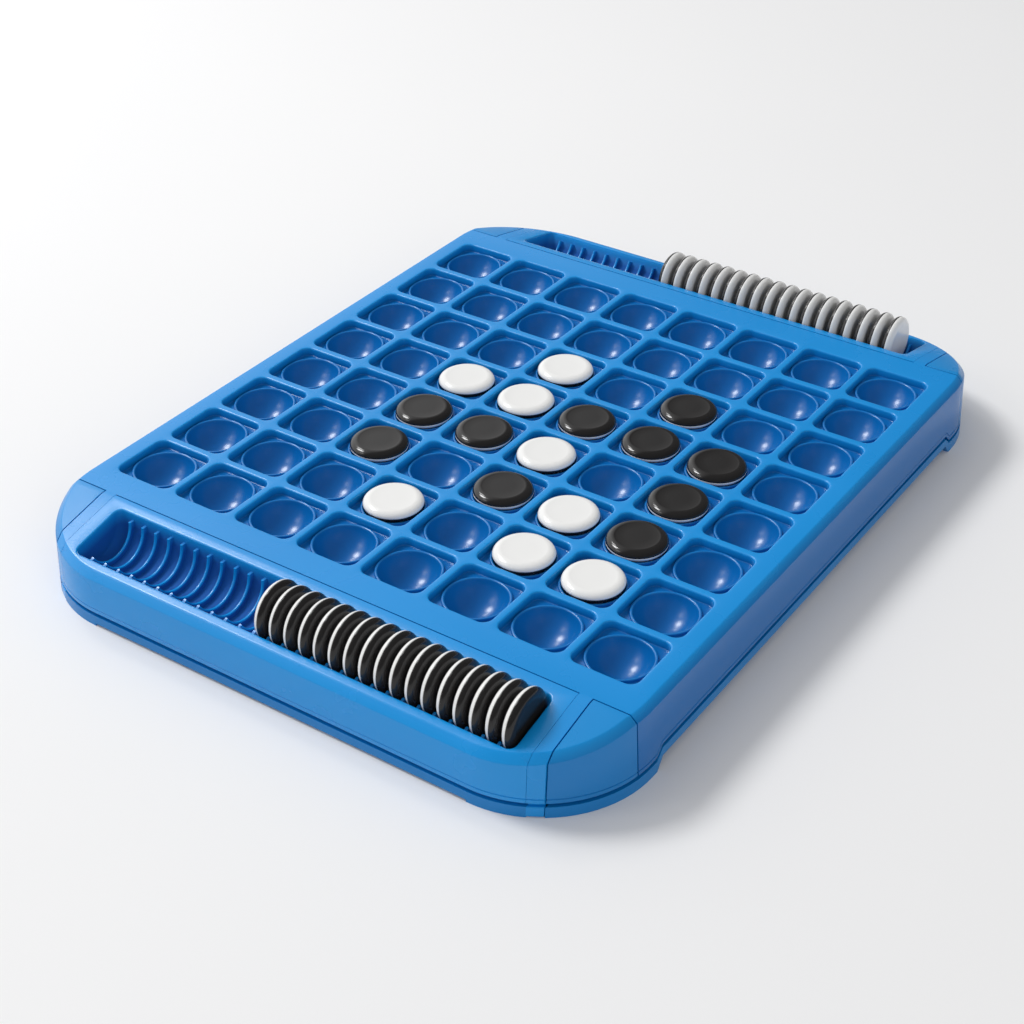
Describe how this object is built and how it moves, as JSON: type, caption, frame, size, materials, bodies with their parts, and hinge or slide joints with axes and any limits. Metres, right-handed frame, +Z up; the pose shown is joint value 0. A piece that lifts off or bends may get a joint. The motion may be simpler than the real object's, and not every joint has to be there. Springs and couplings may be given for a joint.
{
  "type": "reversi board game",
  "caption": "Reversi board with square recessed cells, a trough rack for discs at each end, corner blocks, a base pan on end feet, and two-colour discs that lift out.",
  "frame": {"origin": "middle of the board, on the surface it rests on", "axes": "+X along the front rack from left to right, +Y from the front rack to the rear rack, +Z up"},
  "size_m": [0.2596, 0.3368, 0.0386],
  "materials": {
    "deck_blue": "satin",
    "rack_blue": "satin",
    "corner_blue": "satin",
    "base_blue": "satin",
    "disc_white": "gloss",
    "disc_black": "gloss",
    "screw_steel": "plain"
  },
  "bodies": {
    "board": {"playing_deck": "deck_blue", "front_rack": "rack_blue", "rear_rack": "rack_blue", "front_left_corner": "corner_blue", "front_right_corner": "corner_blue", "rear_left_corner": "corner_blue", "rear_right_corner": "corner_blue", "base": "base_blue", "base_screws": "screw_steel"},
    "disc_c3": {"disc_c3_white": "disc_white", "disc_c3_black": "disc_black"},
    "disc_c4": {"disc_c4_white": "disc_white", "disc_c4_black": "disc_black"},
    "disc_c5": {"disc_c5_white": "disc_white", "disc_c5_black": "disc_black"},
    "disc_d2": {"disc_d2_white": "disc_white", "disc_d2_black": "disc_black"},
    "disc_d4": {"disc_d4_white": "disc_white", "disc_d4_black": "disc_black"},
    "disc_d5": {"disc_d5_white": "disc_white", "disc_d5_black": "disc_black"},
    "disc_d6": {"disc_d6_white": "disc_white", "disc_d6_black": "disc_black"},
    "disc_e3": {"disc_e3_white": "disc_white", "disc_e3_black": "disc_black"},
    "disc_e4": {"disc_e4_white": "disc_white", "disc_e4_black": "disc_black"},
    "disc_e5": {"disc_e5_white": "disc_white", "disc_e5_black": "disc_black"},
    "disc_f2": {"disc_f2_white": "disc_white", "disc_f2_black": "disc_black"},
    "disc_f3": {"disc_f3_white": "disc_white", "disc_f3_black": "disc_black"},
    "disc_f5": {"disc_f5_white": "disc_white", "disc_f5_black": "disc_black"},
    "disc_f6": {"disc_f6_white": "disc_white", "disc_f6_black": "disc_black"},
    "disc_g2": {"disc_g2_white": "disc_white", "disc_g2_black": "disc_black"},
    "disc_g3": {"disc_g3_white": "disc_white", "disc_g3_black": "disc_black"},
    "disc_g4": {"disc_g4_white": "disc_white", "disc_g4_black": "disc_black"},
    "disc_g5": {"disc_g5_white": "disc_white", "disc_g5_black": "disc_black"},
    "front_next_disc": {"front_next_disc_white": "disc_white", "front_next_disc_black": "disc_black"},
    "front_row": {"front_row_white_halves": "disc_white", "front_row_black_halves": "disc_black"},
    "rear_next_disc": {"rear_next_disc_white": "disc_white", "rear_next_disc_black": "disc_black"},
    "rear_row": {"rear_row_white_halves": "disc_white", "rear_row_black_halves": "disc_black"}
  },
  "joints": [
    {"name": "disc_c3_lift", "type": "slide", "parent": "board", "child": "disc_c3", "axis": [0, 0, 1], "range_m": [0, 0.03]},
    {"name": "disc_c4_lift", "type": "slide", "parent": "board", "child": "disc_c4", "axis": [0, 0, 1], "range_m": [0, 0.03]},
    {"name": "disc_c5_lift", "type": "slide", "parent": "board", "child": "disc_c5", "axis": [0, 0, 1], "range_m": [0, 0.03]},
    {"name": "disc_d2_lift", "type": "slide", "parent": "board", "child": "disc_d2", "axis": [0, 0, 1], "range_m": [0, 0.03]},
    {"name": "disc_d4_lift", "type": "slide", "parent": "board", "child": "disc_d4", "axis": [0, 0, 1], "range_m": [0, 0.03]},
    {"name": "disc_d5_lift", "type": "slide", "parent": "board", "child": "disc_d5", "axis": [0, 0, 1], "range_m": [0, 0.03]},
    {"name": "disc_d6_lift", "type": "slide", "parent": "board", "child": "disc_d6", "axis": [0, 0, 1], "range_m": [0, 0.03]},
    {"name": "disc_e3_lift", "type": "slide", "parent": "board", "child": "disc_e3", "axis": [0, 0, 1], "range_m": [0, 0.03]},
    {"name": "disc_e4_lift", "type": "slide", "parent": "board", "child": "disc_e4", "axis": [0, 0, 1], "range_m": [0, 0.03]},
    {"name": "disc_e5_lift", "type": "slide", "parent": "board", "child": "disc_e5", "axis": [0, 0, 1], "range_m": [0, 0.03]},
    {"name": "disc_f2_lift", "type": "slide", "parent": "board", "child": "disc_f2", "axis": [0, 0, 1], "range_m": [0, 0.03]},
    {"name": "disc_f3_lift", "type": "slide", "parent": "board", "child": "disc_f3", "axis": [0, 0, 1], "range_m": [0, 0.03]},
    {"name": "disc_f5_lift", "type": "slide", "parent": "board", "child": "disc_f5", "axis": [0, 0, 1], "range_m": [0, 0.03]},
    {"name": "disc_f6_lift", "type": "slide", "parent": "board", "child": "disc_f6", "axis": [0, 0, 1], "range_m": [0, 0.03]},
    {"name": "disc_g2_lift", "type": "slide", "parent": "board", "child": "disc_g2", "axis": [0, 0, 1], "range_m": [0, 0.03]},
    {"name": "disc_g3_lift", "type": "slide", "parent": "board", "child": "disc_g3", "axis": [0, 0, 1], "range_m": [0, 0.03]},
    {"name": "disc_g4_lift", "type": "slide", "parent": "board", "child": "disc_g4", "axis": [0, 0, 1], "range_m": [0, 0.03]},
    {"name": "disc_g5_lift", "type": "slide", "parent": "board", "child": "disc_g5", "axis": [0, 0, 1], "range_m": [0, 0.03]},
    {"name": "front_next_disc_lift", "type": "slide", "parent": "board", "child": "front_next_disc", "axis": [0, 0, 1], "range_m": [0, 0.04]},
    {"name": "front_row_lift", "type": "slide", "parent": "board", "child": "front_row", "axis": [0, 0, 1], "range_m": [0, 0.04]},
    {"name": "rear_next_disc_lift", "type": "slide", "parent": "board", "child": "rear_next_disc", "axis": [0, 0, 1], "range_m": [0, 0.04]},
    {"name": "rear_row_lift", "type": "slide", "parent": "board", "child": "rear_row", "axis": [0, 0, 1], "range_m": [0, 0.04]}
  ]
}
